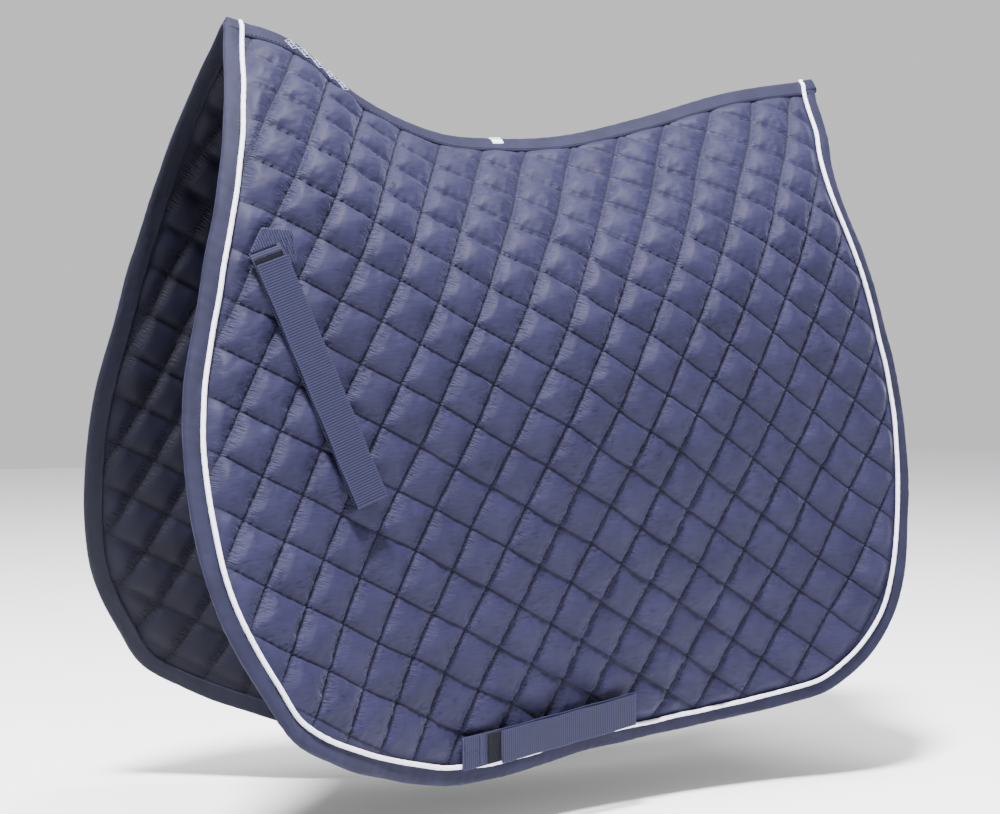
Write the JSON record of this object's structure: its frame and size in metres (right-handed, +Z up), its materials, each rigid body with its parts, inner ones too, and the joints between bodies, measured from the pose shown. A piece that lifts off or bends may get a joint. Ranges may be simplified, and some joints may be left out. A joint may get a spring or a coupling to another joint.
{
  "type": "saddle pad",
  "caption": "Quilted saddle pad with two flaps hung from a curved spine seam, bound and piped edges, and hook-and-loop webbing straps for the saddle and girth.",
  "frame": {"origin": "under the lowest point of the spine seam, on the line where the pad lies on the horse's back", "axes": "+X to the horse's rear, +Y to its right side, +Z up"},
  "size_m": [0.7635, 0.4184, 0.6759],
  "materials": {
    "quilted_cloth": "quilted polycotton, satin sheen",
    "lining_cloth": "quilted cotton lining, dark navy",
    "wadding": "soft fibre wadding",
    "binding_tape": "twill tape",
    "piping_cord": "white covered cord",
    "webbing": "ribbed polypropylene webbing",
    "hook_and_loop": "brushed hook and loop tape",
    "thread": "polyester thread",
    "label": "woven white tape",
    "motif_thread": "embroidery thread"
  },
  "bodies": {
    "spine": {"spine_tape": "binding_tape", "seam_cord": "wadding", "under_tape": "lining_cloth", "withers_binding": "binding_tape", "cantle_binding": "binding_tape", "care_label": "label", "motif_patch": "motif_thread"},
    "left_flap": {"left_outer_panel": "quilted_cloth", "left_wadding": "wadding", "left_lining_panel": "lining_cloth", "left_edge_binding": "binding_tape", "left_piping": "piping_cord", "left_billet_tab": "webbing", "left_billet_tacks": "thread", "left_girth_tab": "webbing", "left_girth_tacks": "thread"},
    "left_billet_strap": {"left_billet_strap": "webbing", "left_billet_loop_tape": "hook_and_loop"},
    "left_billet_tail": {"left_billet_tail": "webbing", "left_billet_hook_tape": "hook_and_loop"},
    "left_girth_strap": {"left_girth_strap": "webbing", "left_girth_loop_tape": "hook_and_loop"},
    "left_girth_tail": {"left_girth_tail": "webbing", "left_girth_hook_tape": "hook_and_loop"},
    "right_flap": {"right_outer_panel": "quilted_cloth", "right_wadding": "wadding", "right_lining_panel": "lining_cloth", "right_edge_binding": "binding_tape", "right_piping": "piping_cord", "right_billet_tab": "webbing", "right_billet_tacks": "thread", "right_girth_tab": "webbing", "right_girth_tacks": "thread"},
    "right_billet_strap": {"right_billet_strap": "webbing", "right_billet_loop_tape": "hook_and_loop"},
    "right_billet_tail": {"right_billet_tail": "webbing", "right_billet_hook_tape": "hook_and_loop"},
    "right_girth_strap": {"right_girth_strap": "webbing", "right_girth_loop_tape": "hook_and_loop"},
    "right_girth_tail": {"right_girth_tail": "webbing", "right_girth_hook_tape": "hook_and_loop"}
  },
  "joints": [
    {"name": "left_flap_swing", "type": "hinge", "parent": "spine", "child": "left_flap", "pos_m": [0, 0, 0.07], "axis": [-1, 0, 0], "range_deg": [-5, 20], "stiffness_Nm_per_rad": 6, "springref_deg": 5.03},
    {"name": "left_billet_strap_lift", "type": "hinge", "parent": "left_flap", "child": "left_billet_strap", "pos_m": [-0.27055, -0.12936, -0.11708], "axis": [-0.931, -0.0199, -0.3645], "range_deg": [0, 110]},
    {"name": "left_billet_tail_open", "type": "hinge", "parent": "left_billet_strap", "child": "left_billet_tail", "pos_m": [-0.19082, -0.15718, -0.31923], "axis": [0.931, 0.0199, 0.3645], "range_deg": [0, 165]},
    {"name": "left_girth_strap_lift", "type": "hinge", "parent": "left_flap", "child": "left_girth_strap", "pos_m": [-0.07166, -0.1299, -0.54134], "axis": [0.0871, 0.1474, -0.9852], "range_deg": [0, 110]},
    {"name": "left_girth_tail_open", "type": "hinge", "parent": "left_girth_strap", "child": "left_girth_tail", "pos_m": [0.09314, -0.11227, -0.52412], "axis": [-0.0871, -0.1474, 0.9852], "range_deg": [0, 165]},
    {"name": "right_flap_swing", "type": "hinge", "parent": "spine", "child": "right_flap", "pos_m": [0, 0, 0.07], "axis": [1, 0, 0], "range_deg": [-5, 20], "stiffness_Nm_per_rad": 6, "springref_deg": 5.03},
    {"name": "right_billet_strap_lift", "type": "hinge", "parent": "right_flap", "child": "right_billet_strap", "pos_m": [-0.27055, 0.12936, -0.11708], "axis": [0.931, -0.0199, 0.3645], "range_deg": [0, 110]},
    {"name": "right_billet_tail_open", "type": "hinge", "parent": "right_billet_strap", "child": "right_billet_tail", "pos_m": [-0.19082, 0.15718, -0.31923], "axis": [-0.931, 0.0199, -0.3645], "range_deg": [0, 165]},
    {"name": "right_girth_strap_lift", "type": "hinge", "parent": "right_flap", "child": "right_girth_strap", "pos_m": [-0.07166, 0.1299, -0.54134], "axis": [-0.0871, 0.1474, 0.9852], "range_deg": [0, 110]},
    {"name": "right_girth_tail_open", "type": "hinge", "parent": "right_girth_strap", "child": "right_girth_tail", "pos_m": [0.09314, 0.11227, -0.52412], "axis": [0.0871, -0.1474, -0.9852], "range_deg": [0, 165]}
  ]
}
